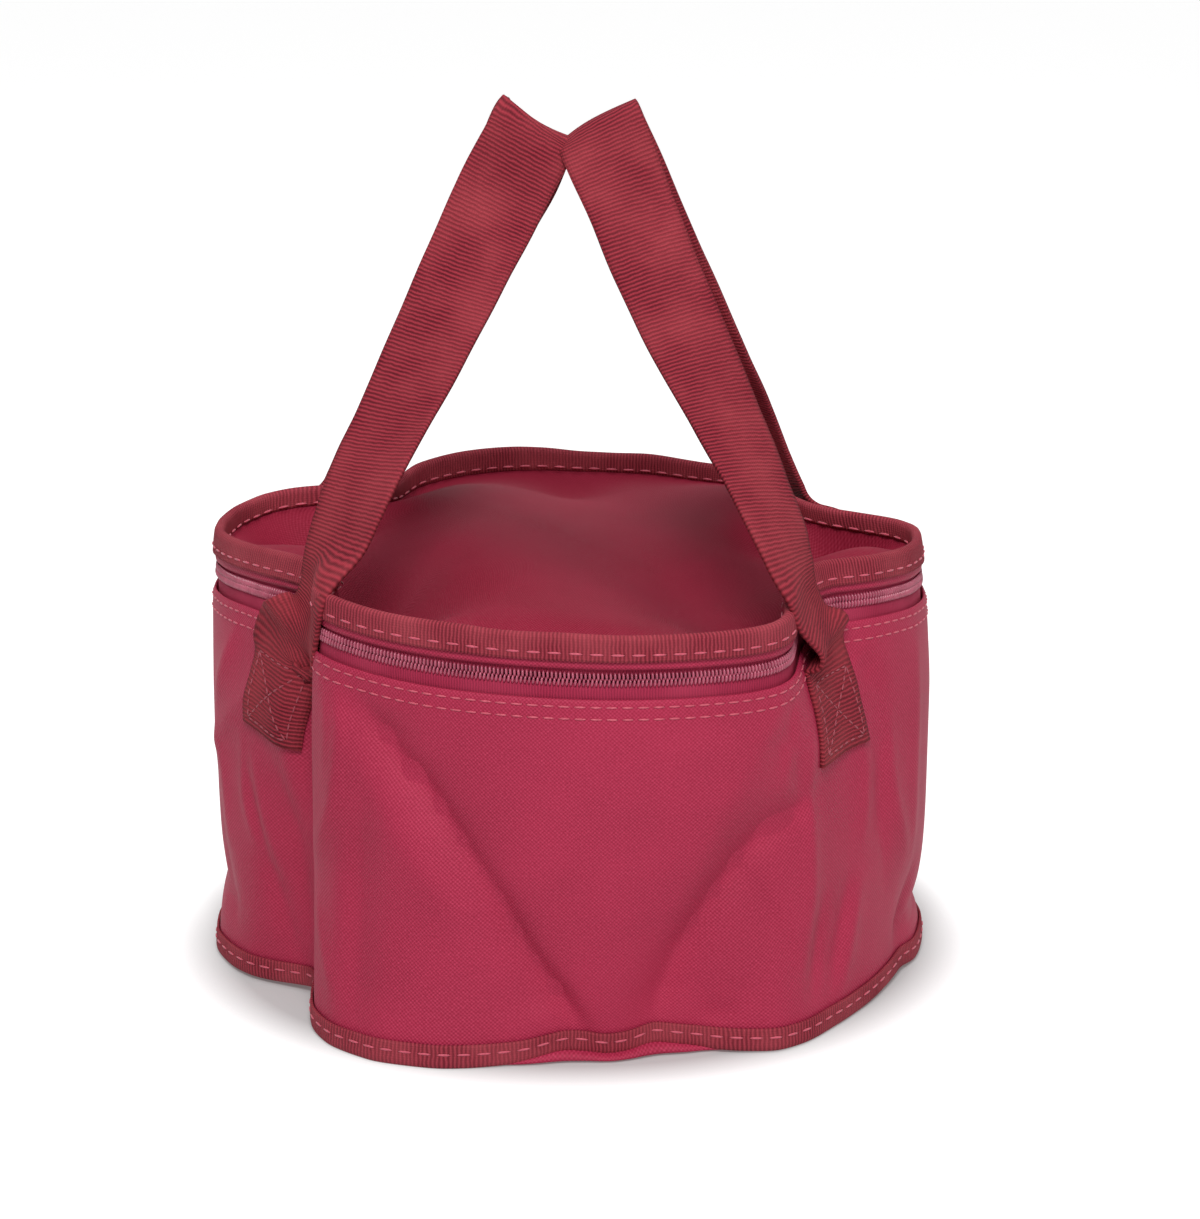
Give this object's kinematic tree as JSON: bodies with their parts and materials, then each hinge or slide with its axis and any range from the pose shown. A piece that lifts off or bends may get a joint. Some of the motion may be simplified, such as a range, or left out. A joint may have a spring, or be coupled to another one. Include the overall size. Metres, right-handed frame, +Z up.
{
  "type": "cookware carry bag",
  "caption": "Soft round carry bag for a flat pot: fabric wall pulled in between lobes, zipped lid that folds back, bound seams and webbing handles leaning together.",
  "frame": {"origin": "on the floor under the middle of the bag", "axes": "+Z up, -Y towards the front, +X to the right of someone facing the front"},
  "size_m": [0.2484, 0.2484, 0.2896],
  "materials": {
    "crimson_fabric": "matt weave",
    "maroon_fabric": "matt ribbed",
    "webbing": "ribbed webbing",
    "zipper_tape": "woven tape",
    "zipper_coil": "satin nylon",
    "slider_metal": "painted"
  },
  "bodies": {
    "bag_body": {"body_wall": "crimson_fabric", "bottom_panel": "crimson_fabric", "bottom_binding": "maroon_fabric", "back_seam_binding": "maroon_fabric", "hinge_strip": "crimson_fabric", "lower_zipper_tape": "zipper_tape", "lower_zipper_coil": "zipper_coil", "zipper_stop_left": "zipper_coil", "zipper_stop_right": "zipper_coil", "upper_tape_back_left": "zipper_tape", "upper_tape_back_right": "zipper_tape", "upper_coil_back_left": "zipper_coil", "upper_coil_back_right": "zipper_coil", "lid_band_back": "crimson_fabric", "lid_panel_back": "maroon_fabric", "rim_binding_back": "maroon_fabric", "strap_end_front_left": "webbing", "strap_end_front_right": "webbing", "strap_end_back_left": "webbing", "strap_end_back_right": "webbing", "strap_bend_front_left": "webbing", "strap_bend_front_right": "webbing", "strap_bend_back_left": "webbing", "strap_bend_back_right": "webbing"},
    "lid": {"lid_panel_front": "maroon_fabric", "lid_band_front": "crimson_fabric", "rim_binding_front": "maroon_fabric", "upper_tape_front": "zipper_tape", "upper_coil_front": "zipper_coil"},
    "strap_left": {"strap_left_loop": "webbing"},
    "strap_right": {"strap_right_loop": "webbing"},
    "slider": {"zipper_slider": "slider_metal"},
    "pull": {"slider_pull": "slider_metal"}
  },
  "joints": [
    {"name": "lid_fold", "type": "hinge", "parent": "bag_body", "child": "lid", "pos_m": [0, 0.075, 0.151], "axis": [-1, 0, 0], "range_deg": [0, 76]},
    {"name": "strap_left_swing", "type": "hinge", "parent": "bag_body", "child": "strap_left", "pos_m": [-0.0905, 0, 0.1235], "axis": [0, -1, 0], "range_deg": [0, 115], "deforming": ["strap_bend_front_left", "strap_bend_back_left"]},
    {"name": "strap_right_swing", "type": "hinge", "parent": "bag_body", "child": "strap_right", "pos_m": [0.0905, 0, 0.1235], "axis": [0, 1, 0], "range_deg": [0, 115], "deforming": ["strap_bend_front_right", "strap_bend_back_right"]},
    {"name": "slider_run", "type": "hinge", "parent": "bag_body", "child": "slider", "pos_m": [0, 0.04158, 0.1308], "axis": [0, 0, 1], "range_deg": [0, 25]},
    {"name": "pull_flip", "type": "hinge", "parent": "slider", "child": "pull", "pos_m": [-0.0354, 0.11904, 0.1308], "axis": [0.9095, 0.4157, 0], "range_deg": [0, 165]}
  ],
  "couplings": [
    {"joint": "strap_left_swing", "follows": "lid_fold", "ratio": 1.5},
    {"joint": "strap_right_swing", "follows": "lid_fold", "ratio": 1.5}
  ]
}
